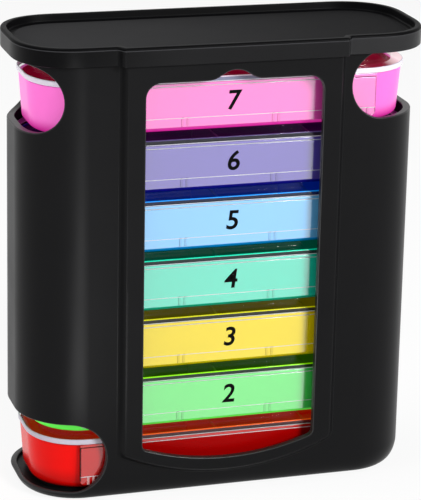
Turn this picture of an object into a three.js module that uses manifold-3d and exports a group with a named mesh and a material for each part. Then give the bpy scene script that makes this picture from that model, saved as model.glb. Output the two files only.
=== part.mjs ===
// Weekly pill organizer: a tower housing, its lid and seven day boxes of four compartments
// Units are millimetres, +Z is up and the window faces -Y
import * as THREE from "three";
import { mergeVertices } from "three/addons/utils/BufferGeometryUtils.js";
import Module from "manifold-3d";

const wasm = await Module();
wasm.setup();

// Shared clearances and fineness
const FIT_GAP = 0.3; // between pieces that touch on the real object
const OVERRUN = 2; // how far a cutter runs past the face that it cuts
const ARC_STEPS = 5; // three.js gives an arc twice this many facets
const EDGE_STEPS = 2; // facets in a rounded edge
const MERGE = 0.0001; // points closer than this are one

// Tower housing
const HOUSING_LENGTH = 138.6; // at the foot
const HOUSING_DEPTH = 51.4; // at the foot, without the raised panel
const END_FLAT = 8.9; // flat part of each end, between its two round corners
const HOUSING_DRAFT = 0.43; // how far each side leans in from foot to top
const FOOT_EDGE_HEIGHT = 8.1; // of the large rounded edge around the foot
const FOOT_EDGE_WIDTH = 4.4;
const FOOT_EDGE_STEPS = 5;
const WALL_AT_FOOT = 2.25; // front and back
const END_WALL = 3.1; // at the two ends
const FLOOR = 3.2; // height of the stand that carries the lowest box
const GROOVE_WIDTH = 4.7; // from the housing's inside to the stand
const GROOVE_DEPTH = 1.2;

// Raised front panel and its window
const PANEL_RAISE = 2.7;
const PANEL_WIDTH = 75.1;
const PANEL_SLOPE = 2.6; // width of the soft side of the panel
const SLOPE_STEPS = 5;
const PANEL_SHELL = 2.4; // wall behind the raised face
const PANEL_FOOT = 7.7; // lowest point of the arched foot
const PANEL_FOOT_RISE = 7.9;
const PANEL_FOOT_CORNER = 3;
const JAMB_WIDTH = 7.2; // from the window's side to the panel's side
const WINDOW_FROM_TOP = 7.6;
const WINDOW_CORNER = 5;
const SILL_HEIGHT = 5.2; // from the panel's lowest point to the window's
const WINDOW_FOOT_RISE = 5;
const WINDOW_FOOT_CORNER = 2.4;
const THUMB_HUMP_WIDTH = 19;
const THUMB_HUMP_RISE = 3.3;
const HUMP_BLEND_SHARE = 0.45; // how much of half the hump flows into the straight edge
const ARCH_END_SHARE = 0.5; // of a foot corner, left of or right of the arch
const ARCH_CURL_SHARE = 0.25; // of a foot corner, above the arch's end, where the corner turns up

// Side openings, each a slot with a half-round inner end, cut through front and back
const EXIT_HEADROOM = 4.25; // over the top of the lowest box
const EXIT_FROM_PANEL = 4.65; // from the panel's side to the inner end of the slot
const LEFT_GRIP_HEIGHT = 22.6;
const LEFT_GRIP_FROM_TOP = 2.5;
const LEFT_GRIP_REACH = 12.6; // from the left end of the housing to the inner end of the slot
const RIGHT_GRIP_HEIGHT = 23.4;
const RIGHT_GRIP_FROM_TOP = 0.8;
const RIGHT_GRIP_FROM_PANEL = 3.85;

// Tower lid, a cap with a shallow tray on top
const CAP_OVERHANG = 1.7; // outside the top of the housing
const CAP_END_FLAT = 10.4;
const CAP_SKIRT_DROP = 1.5; // below the top of the housing
const CAP_PLATE = 2.1;
const CAP_TRAY_DEPTH = 2.5;
const CAP_RIM_WIDTH = 2.1;
const CAP_RIM_SLOPE = 0.8; // width of the rim's sloping outer edge
const CAP_RIM_DROP = 0.5; // height of that edge
const CAP_PLUG_WALL = 1.5;
const CAP_PLUG_DEPTH = 1.6;

// Day boxes
const DAY_COUNT = 7;
const COMPARTMENTS = 4;
const DAY_PITCH = 20.65;
const HEADROOM = 5.15; // from the top of the stack to the top of the housing
const RIM_CLEARANCE = 0.55; // from a day lid's rim to the housing wall
const RIM_THICKNESS = 1.9;
const RIM_OVERHANG = 1.25; // of the rim beyond the tray, at front and back
const RIM_END_OVERHANG = 0.6; // the same at the two ends
const RIM_EDGE = 0.4;
const PLATFORM_RISE = 1.85; // of the day lid's raised middle over its rim
const PLATFORM_INSET = 4.2; // from the rim's edge to the raised middle
const LID_SHELL = 1.2;
const LID_PLUG_WALL = 1;
const LID_PLUG_DEPTH = 1.5;
const TRAY_WALL = 1.2;
const TRAY_FLOOR = 1.2;
const TRAY_FOOT_EDGE = 2;
const TRAY_DRAFT = 1; // how far the tray's ends lean in from rim to foot
const TRAY_FRONT_DRAFT = 0.3; // the same for its front and back
const TRAY_FLOOR_EDGE = 1.4; // rounding inside, around the floor
const DIVIDER_WALL = 1;
const DIVIDER_DROP = 1.8; // below the tray's upper edge

// Name plate on the front of each day box
const PLATE_WRAP = 3.4; // past the straight part of the box's front, at each end
const PLATE_THICKNESS = 1;
const PLATE_FOOT = 1.8; // above the underside of the tray
const PLATE_CORNER = 1.6;
const PLATE_SEAM = 0.25; // between the plate and the lid's apron
const APRON_HEIGHT = 0.9;
const HEM_TOP = 4.95;
const HEM_STEP = 0.2; // how much thinner the hem is than the plate
const CLIP_FROM_END = 3.7; // from the plate's end to the middle of the outer clip
const CLIP_WIDTH = 2.7;
const CLIP_HEIGHT = 3.3;
const CLIP_PRONG = 0.85;
const CLIP_STAND = 0.2; // how far a clip stands proud of the hem

// Sizes worked out from the ones above
const LENGTH_HALF = HOUSING_LENGTH / 2;
const DEPTH_HALF = HOUSING_DEPTH / 2;
const HOUSING_CORNER = DEPTH_HALF - END_FLAT / 2;
const HOUSING_TOP = FLOOR + DAY_COUNT * DAY_PITCH + HEADROOM;
const PANEL_HALF = PANEL_WIDTH / 2;
const WINDOW_HALF = PANEL_HALF - JAMB_WIDTH;
const WINDOW_TOP = HOUSING_TOP - WINDOW_FROM_TOP;
const WINDOW_FOOT = PANEL_FOOT + SILL_HEIGHT;
const EXIT_HEIGHT = DAY_PITCH + EXIT_HEADROOM;
const LEFT_GRIP_FOOT = HOUSING_TOP - LEFT_GRIP_FROM_TOP - LEFT_GRIP_HEIGHT;
const RIGHT_GRIP_FOOT = HOUSING_TOP - RIGHT_GRIP_FROM_TOP - RIGHT_GRIP_HEIGHT;
const CAVITY_HALF_X = LENGTH_HALF - END_WALL;
const CAVITY_HALF_Y = DEPTH_HALF - WALL_AT_FOOT;
const CAVITY_CORNER = HOUSING_CORNER - WALL_AT_FOOT;
const TOP_HALF_X = LENGTH_HALF - HOUSING_DRAFT;
const TOP_HALF_Y = DEPTH_HALF - HOUSING_DRAFT;
const CAP_HALF_X = TOP_HALF_X + CAP_OVERHANG;
const CAP_HALF_Y = TOP_HALF_Y + CAP_OVERHANG;
const CAP_CORNER = CAP_HALF_Y - CAP_END_FLAT / 2;
const CAP_SKIRT_FOOT = HOUSING_TOP - CAP_SKIRT_DROP;
const CAP_UNDERSIDE = HOUSING_TOP + FIT_GAP;
const CAP_TRAY_FLOOR = CAP_UNDERSIDE + CAP_PLATE;
const CAP_TOP = CAP_TRAY_FLOOR + CAP_TRAY_DEPTH;
const CAP_SKIRT_WALL = CAP_OVERHANG - FIT_GAP;
const CAP_STEP_SHARE = 0.75; // of the skirt wall, beside the step over the panel
const RIM_HALF_X = CAVITY_HALF_X - RIM_CLEARANCE;
const RIM_HALF_Y = CAVITY_HALF_Y - RIM_CLEARANCE;
const RIM_CORNER = CAVITY_CORNER - RIM_CLEARANCE;
const PLATFORM_TOP = DAY_PITCH - FIT_GAP; // above the underside of the tray, as all heights of a box
const RIM_TOP = PLATFORM_TOP - PLATFORM_RISE;
const RIM_FOOT = RIM_TOP - RIM_THICKNESS;
const TRAY_HALF_X = RIM_HALF_X - RIM_END_OVERHANG;
const TRAY_HALF_Y = RIM_HALF_Y - RIM_OVERHANG;
const TRAY_CORNER = RIM_CORNER - RIM_OVERHANG;
const TRAY_TOP = RIM_FOOT - FIT_GAP;
const PLATE_HALF_WIDTH = RIM_HALF_X - RIM_CORNER + PLATE_WRAP;
const PLATE_FRONT = -RIM_HALF_Y;
const PLATE_BACK = PLATE_FRONT + PLATE_THICKNESS;
const PLATE_TOP = RIM_FOOT - APRON_HEIGHT - PLATE_SEAM;

// The front panel reaches further forward than the back wall, so the model is centred by this
const CENTRE_SHIFT = PANEL_RAISE / 2;

// Turns a three.js geometry into a closed solid for boolean work
function solid(geometry) {
  const bare = geometry.index ? geometry.toNonIndexed() : geometry.clone();
  for (const name of Object.keys(bare.attributes)) {
    if (name !== "position") bare.deleteAttribute(name);
  }
  const merged = mergeVertices(bare, MERGE);
  const mesh = new wasm.Mesh({
    numProp: 3,
    vertProperties: new Float32Array(merged.attributes.position.array),
    triVerts: new Uint32Array(merged.index.array),
  });
  mesh.merge();
  return new wasm.Manifold(mesh);
}

// Turns a solid back into a three.js geometry
function geometryOf(body) {
  const mesh = body.getMesh();
  const geometry = new THREE.BufferGeometry();
  geometry.setAttribute("position", new THREE.BufferAttribute(mesh.vertProperties, mesh.numProp));
  geometry.setIndex(new THREE.BufferAttribute(mesh.triVerts, 1));
  geometry.computeVertexNormals();
  return geometry;
}

// A rectangle with round corners, centred on the origin
function roundedRectangle(halfX, halfY, corner) {
  const shape = new THREE.Shape();
  shape.absarc(halfX - corner, halfY - corner, corner, 0, Math.PI / 2);
  shape.absarc(corner - halfX, halfY - corner, corner, Math.PI / 2, Math.PI);
  shape.absarc(corner - halfX, corner - halfY, corner, Math.PI, Math.PI * 1.5);
  shape.absarc(halfX - corner, corner - halfY, corner, Math.PI * 1.5, Math.PI * 2);
  shape.closePath();
  return shape;
}

// An upright prism of a plan outline
function prism(shape, foot, top) {
  const geometry = new THREE.ExtrudeGeometry(shape, {
    depth: top - foot,
    bevelEnabled: false,
    curveSegments: ARC_STEPS,
  });
  geometry.translate(0, 0, foot);
  return solid(geometry);
}

// A closed geometry through plan outlines of equal point count, each at its own height
function loft(sections) {
  const rings = sections.map(({ shape, z }) => {
    const ring = shape.getPoints(ARC_STEPS);
    if (ring[0].distanceTo(ring[ring.length - 1]) < MERGE) ring.pop();
    return ring.map((point) => [point.x, point.y, z]);
  });
  const count = rings[0].length;
  const index = [];
  for (let ring = 0; ring + 1 < rings.length; ring += 1) {
    for (let i = 0; i < count; i += 1) {
      const here = ring * count + i;
      const next = ring * count + ((i + 1) % count);
      index.push(here, next, next + count, here, next + count, here + count);
    }
  }
  const flat = rings[0].map(([x, y]) => new THREE.Vector2(x, y));
  const last = (rings.length - 1) * count;
  for (const [a, b, c] of THREE.ShapeUtils.triangulateShape(flat, [])) {
    index.push(a, c, b, last + a, last + b, last + c);
  }
  const geometry = new THREE.BufferGeometry();
  geometry.setAttribute("position", new THREE.Float32BufferAttribute(rings.flat(2), 3));
  geometry.setIndex(index);
  return geometry;
}

// Sections of a rounded edge: outline(inset) shrinks from drop and inset away to nothing
function edgeSections(outline, z, drop, inset, upward, steps = EDGE_STEPS) {
  return Array.from({ length: steps + 1 }, (_, i) => {
    const step = upward ? i : steps - i;
    const turn = (Math.PI / 2) * (step / steps);
    const side = upward ? z - drop + drop * Math.sin(turn) : z + drop - drop * Math.sin(turn);
    return { shape: outline(inset * (1 - Math.cos(turn))), z: side };
  });
}

// A block given by its lowest and highest corner
function block(x0, y0, z0, x1, y1, z1) {
  const geometry = new THREE.BoxGeometry(x1 - x0, y1 - y0, z1 - z0);
  geometry.translate((x0 + x1) / 2, (y0 + y1) / 2, (z0 + z1) / 2);
  return solid(geometry);
}

// A prism along Y whose outline is drawn in X and Z, from y = back forward to y = front
function frontPrism(shape, back, front) {
  const geometry = new THREE.ExtrudeGeometry(shape, {
    depth: back - front,
    bevelEnabled: false,
    curveSegments: ARC_STEPS,
  });
  geometry.rotateX(Math.PI / 2);
  geometry.translate(0, back, 0);
  return solid(geometry);
}

// Leans the sides of a geometry in towards the middle, by amount at the given top height
function lean(geometry, top, halfX, halfY, amount) {
  const place = geometry.attributes.position;
  for (let i = 0; i < place.count; i += 1) {
    const inward = amount * (place.getZ(i) / top);
    place.setX(i, place.getX(i) * (1 - inward / halfX));
    place.setY(i, place.getY(i) * (1 - inward / halfY));
  }
  return geometry;
}

// Points of an arc that sags by rise between x = -half and x = half
function archPoints(half, lowest, rise, steps) {
  const radius = (half * half + rise * rise) / (2 * rise);
  const points = [];
  for (let i = 0; i <= steps; i += 1) {
    const x = -half + (2 * half * i) / steps;
    points.push(new THREE.Vector2(x, lowest + radius - Math.sqrt(radius * radius - x * x)));
  }
  return points;
}

// Outline with a straight top and an arched foot, used for the panel and the window
function archedOutline(half, top, topCorner, lowest, rise, footCorner) {
  const shape = new THREE.Shape();
  const archHalf = half - footCorner * ARCH_END_SHARE;
  const curl = lowest + rise + footCorner * ARCH_CURL_SHARE;
  const arch = archPoints(archHalf, lowest, rise, 2 * ARC_STEPS);
  shape.moveTo(arch[0].x, arch[0].y);
  for (const point of arch.slice(1)) {
    shape.lineTo(point.x, point.y);
  }
  shape.quadraticCurveTo(half, curl, half, lowest + rise + footCorner);
  shape.lineTo(half, top - topCorner);
  if (topCorner > 0) {
    shape.absarc(half - topCorner, top - topCorner, topCorner, 0, Math.PI / 2);
    shape.lineTo(topCorner - half, top);
    shape.absarc(topCorner - half, top - topCorner, topCorner, Math.PI / 2, Math.PI);
  } else {
    shape.lineTo(-half, top);
  }
  shape.lineTo(-half, lowest + rise + footCorner);
  shape.quadraticCurveTo(-half, curl, arch[0].x, arch[0].y);
  return shape;
}

// The raised panel with its soft sides, from inside the wall out to its face
function panelSolid() {
  const sections = [];
  for (let i = 0; i <= SLOPE_STEPS; i += 1) {
    const step = i / SLOPE_STEPS;
    const spread = PANEL_SLOPE * (1 / 2 - step);
    const rise = (PANEL_RAISE * (1 - Math.cos(Math.PI * step))) / 2;
    const shape = archedOutline(
      PANEL_HALF + spread, HOUSING_TOP, 0, PANEL_FOOT - spread, PANEL_FOOT_RISE, PANEL_FOOT_CORNER,
    );
    if (i === 0) sections.push({ shape, z: CAVITY_HALF_Y + WALL_AT_FOOT / 2 });
    sections.push({ shape, z: DEPTH_HALF + rise });
  }
  const geometry = loft(sections).rotateX(Math.PI / 2);
  return solid(lean(geometry, HOUSING_TOP, LENGTH_HALF, DEPTH_HALF, HOUSING_DRAFT));
}

// The hollow behind the raised panel
function panelHollow() {
  const shape = archedOutline(
    PANEL_HALF - PANEL_SHELL, HOUSING_TOP + OVERRUN, 0, PANEL_FOOT + PANEL_SHELL, PANEL_FOOT_RISE,
    PANEL_FOOT_CORNER,
  );
  return frontPrism(shape, OVERRUN - CAVITY_HALF_Y, PANEL_SHELL - DEPTH_HALF - PANEL_RAISE);
}

// The thumb hump on the window's upper edge: an arc that flows out of the straight edge
function humpSolid(front, back) {
  const half = THUMB_HUMP_WIDTH / 2;
  const top = WINDOW_TOP + THUMB_HUMP_RISE;
  const foot = WINDOW_TOP - WINDOW_CORNER;
  const blend = half * HUMP_BLEND_SHARE;
  const shape = new THREE.Shape();
  shape.moveTo(-half, foot);
  shape.lineTo(half, foot);
  shape.lineTo(half, WINDOW_TOP);
  shape.bezierCurveTo(half - blend, WINDOW_TOP, blend, top, 0, top);
  shape.bezierCurveTo(-blend, top, blend - half, WINDOW_TOP, -half, WINDOW_TOP);
  shape.closePath();
  return frontPrism(shape, back, front);
}

// A slot that runs out of one end of the housing from x = start; side is -1 for the left end
function sideSlot(side, start, foot, height, top) {
  const radius = height / 2;
  const shape = new THREE.Shape();
  const inner = side * (start + radius);
  const outer = side * (LENGTH_HALF + OVERRUN);
  const middle = foot + radius;
  if (side < 0) {
    shape.moveTo(outer, foot);
    shape.lineTo(inner, foot);
    shape.absarc(inner, middle, radius, -Math.PI / 2, Math.PI / 2);
    shape.lineTo(outer, foot + height);
  } else {
    shape.moveTo(outer, foot + height);
    shape.lineTo(inner, foot + height);
    shape.absarc(inner, middle, radius, Math.PI / 2, Math.PI * 1.5);
    shape.lineTo(outer, foot);
  }
  shape.closePath();
  const slot = frontPrism(shape, DEPTH_HALF + OVERRUN, -DEPTH_HALF - PANEL_RAISE);
  if (top <= foot + height) return slot;
  const x0 = Math.min(inner, outer);
  const x1 = Math.max(inner, outer);
  return slot.add(block(x0, -DEPTH_HALF - PANEL_RAISE, middle, x1, DEPTH_HALF + OVERRUN, top));
}

// The upright shell that holds the stack of day boxes
function towerHousing() {
  const outline = (inset) => roundedRectangle(
    LENGTH_HALF - inset, DEPTH_HALF - inset, HOUSING_CORNER - inset,
  );
  const shell = solid(loft([
    ...edgeSections(outline, 0, FOOT_EDGE_HEIGHT, FOOT_EDGE_WIDTH, false, FOOT_EDGE_STEPS),
    { shape: outline(HOUSING_DRAFT), z: HOUSING_TOP },
  ]));
  const inside = (inset) => roundedRectangle(
    CAVITY_HALF_X - inset, CAVITY_HALF_Y - inset, CAVITY_CORNER - inset,
  );
  const stand = prism(inside(GROOVE_WIDTH), 0, FLOOR);
  const cavity = prism(inside(0), FLOOR - GROOVE_DEPTH, HOUSING_TOP + OVERRUN).subtract(stand);
  const windowShape = archedOutline(
    WINDOW_HALF, WINDOW_TOP, WINDOW_CORNER, WINDOW_FOOT, WINDOW_FOOT_RISE, WINDOW_FOOT_CORNER,
  );
  const cutFront = -DEPTH_HALF - PANEL_RAISE - OVERRUN;
  const cutBack = OVERRUN - CAVITY_HALF_Y;
  return shell
    .add(panelSolid())
    .subtract(cavity)
    .subtract(panelHollow())
    .subtract(frontPrism(windowShape, cutBack, cutFront))
    .subtract(humpSolid(cutFront, cutBack))
    .subtract(sideSlot(-1, PANEL_HALF + EXIT_FROM_PANEL, FLOOR, EXIT_HEIGHT, 0))
    .subtract(sideSlot(-1, LENGTH_HALF - LEFT_GRIP_REACH, LEFT_GRIP_FOOT, LEFT_GRIP_HEIGHT, 0))
    .subtract(sideSlot(
      1, PANEL_HALF + RIGHT_GRIP_FROM_PANEL, RIGHT_GRIP_FOOT, RIGHT_GRIP_HEIGHT, HOUSING_TOP + OVERRUN,
    ));
}

// Plan outline of the tower lid: round ends, and a front that steps forward over the panel
function capOutline(inset) {
  const halfX = CAP_HALF_X - inset;
  const halfY = CAP_HALF_Y - inset;
  const corner = CAP_CORNER - inset;
  const middle = PANEL_HALF + FIT_GAP + (CAP_SKIRT_WALL - inset) * CAP_STEP_SHARE;
  const stepIn = middle - PANEL_SLOPE / 2;
  const stepOut = middle + PANEL_SLOPE / 2;
  const bulge = -halfY - PANEL_RAISE;
  const shape = new THREE.Shape();
  shape.absarc(halfX - corner, halfY - corner, corner, 0, Math.PI / 2);
  shape.absarc(corner - halfX, halfY - corner, corner, Math.PI / 2, Math.PI);
  shape.absarc(corner - halfX, corner - halfY, corner, Math.PI, Math.PI * 1.5);
  shape.lineTo(-stepOut, -halfY);
  shape.bezierCurveTo(-middle, -halfY, -middle, bulge, -stepIn, bulge);
  shape.lineTo(stepIn, bulge);
  shape.bezierCurveTo(middle, bulge, middle, -halfY, stepOut, -halfY);
  shape.absarc(halfX - corner, corner - halfY, corner, Math.PI * 1.5, Math.PI * 2);
  shape.closePath();
  return shape;
}

// The loose cap of the tower
function towerLid() {
  const blank = solid(loft([
    { shape: capOutline(0), z: CAP_SKIRT_FOOT },
    ...edgeSections(capOutline, CAP_TOP, CAP_RIM_DROP, CAP_RIM_SLOPE, true),
  ]));
  const tray = prism(capOutline(CAP_RIM_WIDTH), CAP_TRAY_FLOOR, CAP_TOP + OVERRUN);
  const hollow = prism(capOutline(CAP_SKIRT_WALL), CAP_SKIRT_FOOT - OVERRUN, CAP_UNDERSIDE);
  const plugOutline = (inset) => roundedRectangle(
    CAVITY_HALF_X - FIT_GAP - inset, CAVITY_HALF_Y - FIT_GAP - inset, CAVITY_CORNER - FIT_GAP - inset,
  );
  const plug = prism(plugOutline(0), CAP_UNDERSIDE - CAP_PLUG_DEPTH, CAP_UNDERSIDE + CAP_PLATE / 2);
  const plugBore = prism(plugOutline(CAP_PLUG_WALL), CAP_SKIRT_FOOT - OVERRUN, CAP_UNDERSIDE);
  return blank.subtract(tray).subtract(hollow).add(plug.subtract(plugBore));
}

// Distance between the middles of two compartments
function compartmentPitch() {
  return (2 * (TRAY_HALF_X - TRAY_WALL) + DIVIDER_WALL) / COMPARTMENTS;
}

// Plan outline of a tray at its rim, or at its foot where leanShare is 1
function trayOutline(inset, leanShare) {
  const leanX = TRAY_DRAFT * leanShare;
  const leanY = TRAY_FRONT_DRAFT * leanShare;
  return roundedRectangle(TRAY_HALF_X - inset - leanX, TRAY_HALF_Y - inset - leanY, TRAY_CORNER - inset);
}

// The coloured tray of a day box
function dayTray() {
  const body = solid(loft([
    ...edgeSections((inset) => trayOutline(inset, 1), 0, TRAY_FOOT_EDGE, TRAY_FOOT_EDGE, false),
    { shape: trayOutline(0, 0), z: TRAY_TOP },
  ]));
  const inside = (inset) => trayOutline(TRAY_WALL + inset, 1);
  let hollow = solid(loft([
    ...edgeSections(inside, TRAY_FLOOR, TRAY_FLOOR_EDGE, TRAY_FLOOR_EDGE, false),
    { shape: trayOutline(TRAY_WALL, 0), z: TRAY_TOP },
    { shape: trayOutline(TRAY_WALL, 0), z: TRAY_TOP + OVERRUN },
  ]));
  for (let i = 1; i < COMPARTMENTS; i += 1) {
    const x = (i - COMPARTMENTS / 2) * compartmentPitch();
    hollow = hollow.subtract(block(
      x - DIVIDER_WALL / 2, -TRAY_HALF_Y, 0, x + DIVIDER_WALL / 2, TRAY_HALF_Y, TRAY_TOP - DIVIDER_DROP,
    ));
  }
  return body.subtract(hollow);
}

// The clear lid of a day box, with a raised middle that carries the box above
function dayLid() {
  const outline = (inset) => roundedRectangle(RIM_HALF_X - inset, RIM_HALF_Y - inset, RIM_CORNER - inset);
  const rim = solid(loft([
    ...edgeSections(outline, RIM_FOOT, RIM_EDGE, RIM_EDGE, false),
    ...edgeSections(outline, RIM_TOP, RIM_EDGE, RIM_EDGE, true),
  ]));
  const rimMiddle = RIM_FOOT + RIM_THICKNESS / 2;
  const platform = prism(outline(PLATFORM_INSET), rimMiddle, PLATFORM_TOP);
  const hollow = prism(outline(PLATFORM_INSET + LID_SHELL), RIM_FOOT - OVERRUN, PLATFORM_TOP - LID_SHELL);
  const plugInset = TRAY_WALL + FIT_GAP;
  const plug = prism(trayOutline(plugInset, 0), RIM_FOOT - LID_PLUG_DEPTH, rimMiddle);
  const plugBore = prism(
    trayOutline(plugInset + LID_PLUG_WALL, 0), RIM_FOOT - LID_PLUG_DEPTH - OVERRUN, RIM_FOOT,
  );
  const apron = block(
    -PLATE_HALF_WIDTH, PLATE_FRONT, RIM_FOOT - APRON_HEIGHT, PLATE_HALF_WIDTH, PLATE_BACK, rimMiddle,
  );
  const apronEnds = prism(outline(0), 0, PLATFORM_TOP);
  return rim.add(platform).add(plug.subtract(plugBore)).add(apron.intersect(apronEnds)).subtract(hollow);
}

// The clear name plate, with a thinner hem and a two-pronged clip at each compartment
function namePlate() {
  const half = PLATE_HALF_WIDTH;
  const shape = new THREE.Shape();
  shape.moveTo(half, PLATE_TOP);
  shape.lineTo(-half, PLATE_TOP);
  shape.absarc(PLATE_CORNER - half, PLATE_FOOT + PLATE_CORNER, PLATE_CORNER, Math.PI, Math.PI * 1.5);
  shape.absarc(half - PLATE_CORNER, PLATE_FOOT + PLATE_CORNER, PLATE_CORNER, Math.PI * 1.5, Math.PI * 2);
  shape.closePath();
  const slab = frontPrism(shape, PLATE_BACK, PLATE_FRONT);
  const hem = block(
    -half - OVERRUN, PLATE_FRONT - OVERRUN, 0, half + OVERRUN, PLATE_FRONT + HEM_STEP, HEM_TOP,
  );
  let plate = slab.subtract(hem);
  const foot = PLATE_FOOT + HEM_STEP;
  const outerClip = half - CLIP_FROM_END;
  for (let i = 0; i < COMPARTMENTS; i += 1) {
    const middle = outerClip * ((2 * i) / (COMPARTMENTS - 1) - 1);
    for (const side of [-1, 1]) {
      const x = middle + (side * (CLIP_WIDTH - CLIP_PRONG)) / 2;
      plate = plate.add(block(
        x - CLIP_PRONG / 2, PLATE_FRONT + HEM_STEP - CLIP_STAND, foot,
        x + CLIP_PRONG / 2, PLATE_BACK, foot + CLIP_HEIGHT,
      ));
    }
  }
  return plate;
}

function plastic(color, roughness, opacity) {
  return new THREE.MeshStandardMaterial({
    color, roughness, metalness: 0, transparent: opacity < 1, opacity,
  });
}

const black = plastic(0x17181a, 0.38, 1);
const clear = plastic(0xf2f5f6, 0.12, 0.45);
const dayColors = [0xd81a12, 0x3fbf3c, 0xd9cf1e, 0x12a67c, 0x1f9fdc, 0x2a2fa0, 0xd63cc0];
const plateColors = [0xdc5a5a, 0x9cf79c, 0xf2e064, 0x8cf0d4, 0xa8e2ff, 0xa096d8, 0xffa4e6];

function part(name, geometry, material) {
  const mesh = new THREE.Mesh(geometry, material);
  mesh.name = name;
  return mesh;
}

const organizer = new THREE.Group();
organizer.position.y = CENTRE_SHIFT;
organizer.add(part("tower_housing", geometryOf(towerHousing()), black));
organizer.add(part("tower_lid", geometryOf(towerLid()), black));

const trayGeometry = geometryOf(dayTray());
const lidGeometry = geometryOf(dayLid());
const plateGeometry = geometryOf(namePlate());

// The seven day boxes, numbered from the bottom of the stack
for (let day = 1; day <= DAY_COUNT; day += 1) {
  const box = new THREE.Group();
  box.position.z = FLOOR + (day - 1) * DAY_PITCH;
  box.add(part(`day_tray_${day}`, trayGeometry, plastic(dayColors[day - 1], 0.2, 0.85)));
  box.add(part(`day_lid_${day}`, lidGeometry, clear));
  box.add(part(`name_plate_${day}`, plateGeometry, plastic(plateColors[day - 1], 0.1, 0.6)));
  organizer.add(box);
}

export default organizer;
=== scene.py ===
"""Looks of a weekly pill organizer: a black tower that holds seven coloured day boxes"""
import math

import bpy
import numpy as np
from mathutils import Matrix, Vector
from mathutils.geometry import delaunay_2d_cdt


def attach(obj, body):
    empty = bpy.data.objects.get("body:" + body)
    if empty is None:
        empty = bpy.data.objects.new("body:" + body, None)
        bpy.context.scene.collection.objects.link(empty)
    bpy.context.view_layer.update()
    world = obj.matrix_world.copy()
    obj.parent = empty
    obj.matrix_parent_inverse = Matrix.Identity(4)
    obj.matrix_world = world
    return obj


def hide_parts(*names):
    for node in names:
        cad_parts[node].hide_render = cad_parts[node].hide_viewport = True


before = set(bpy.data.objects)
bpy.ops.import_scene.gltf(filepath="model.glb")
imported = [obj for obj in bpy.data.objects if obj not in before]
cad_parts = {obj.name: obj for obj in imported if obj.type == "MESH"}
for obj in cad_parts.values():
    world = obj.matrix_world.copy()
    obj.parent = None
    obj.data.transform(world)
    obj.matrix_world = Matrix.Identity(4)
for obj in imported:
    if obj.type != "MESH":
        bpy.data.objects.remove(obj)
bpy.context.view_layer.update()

# Lengths are millimetres, as in the CAD, and become metres where a mesh is made
MM = 0.001
# Half of how far the panel stands forward, which centres the whole object
CENTRE_SHIFT = 1.35
DAYS = range(1, 8)
DAY_PITCH = 20.65
FLOOR = 3.2

# Steps round the outlines' corners, small edges, a slab's corners and the wider edges
ARC_STEPS, EDGE_STEPS, SLAB_CORNER_STEPS = 18, 3, 6
TRAY_FOOT_STEPS, TRAY_FLOOR_STEPS, CAP_RIM_STEPS, CAP_EDGE_STEPS = 6, 4, 5, 4
SMALLEST_CORNER = 0.02
SHARP_DEGREES = 50

# Tower housing
TOWER_TOP = 152.9
CORNER_X, CORNER_Y = 48.05, 4.45
OUTER_CORNER = 21.25
INNER_CORNER_X, INNER_CORNER_Y = 18.15, 19.0
DRAFT = 0.43
FOOT_EDGE_HEIGHT, FOOT_EDGE_WIDTH = 8.1, 4.4
GROOVE_FOOT, GROOVE_WIDTH = 2.0, 4.7
LIP = 0.4
LIP_STEPS = 4
PANEL_HALF, PANEL_FOOT, PANEL_FOOT_RISE, PANEL_FOOT_CORNER = 37.55, 7.7, 7.9, 3.0
PANEL_RAISE, PANEL_SLOPE, PANEL_SHELL = 2.7, 2.6, 2.4
HOLLOW_RAISE, HOLLOW_SLOPE = 2.55, 0.8
WINDOW_HALF, WINDOW_TOP, WINDOW_CORNER = 30.35, 145.3, 5.0
WINDOW_FOOT, WINDOW_FOOT_RISE, WINDOW_FOOT_CORNER = 12.9, 5.0, 2.4
HUMP_HALF, HUMP_RISE, HUMP_BLEND = 9.5, 3.3, 0.45
# Slots round the ends: where they start on the front, counted from the middle, their foot and their top
EXIT = (42.2, 3.2, 28.1)
LEFT_GRIP = (56.7, 127.8, 150.4)
RIGHT_GRIP = (41.4, 128.7, 152.1)
RIGHT_GRIP_SPUR = 51.0

# Tower lid
CAP_HALF_X, CAP_HALF_Y, CAP_CORNER = 70.57, 26.97, 21.77
CAP_SKIRT_FOOT, CAP_UNDERSIDE, CAP_TRAY_FLOOR, CAP_TOP = 151.4, 153.2, 155.3, 157.8
CAP_SKIRT_WALL, CAP_SKIRT_INNER_EDGE, CAP_SKIRT_OUTER_EDGE = 1.4, 0.2, 0.3
CAP_RIM_WIDTH, CAP_RIM_INNER_EDGE = 2.1, 0.4
# The last is the height of the painted highlight line below the rim's round edge
CAP_RIM_ROUND, CAP_RIM_ROUND_DROP, CAP_RIM_HIGHLIGHT_LINE = 0.8, 0.85, 0.3
CAP_TRAY_LEAN, CAP_TRAY_EDGE, CAP_SHADE_WIDTH = 0.25, 0.6, 1.8
# The step follows the panel, and moves in by this share of the wall's inset
CAP_STEP_MIDDLE, CAP_STEP_SHARE, CAP_STEP_TURNS = 38.9, 0.75, 8
# The exponent of the corners' arcs: 1 is a circle, less is fuller
CAP_FULLNESS = 0.86
PLUG_GAP, PLUG_CORNER, PLUG_WALL, PLUG_DEPTH = 0.3, 18, 1.5, 1.6

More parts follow.
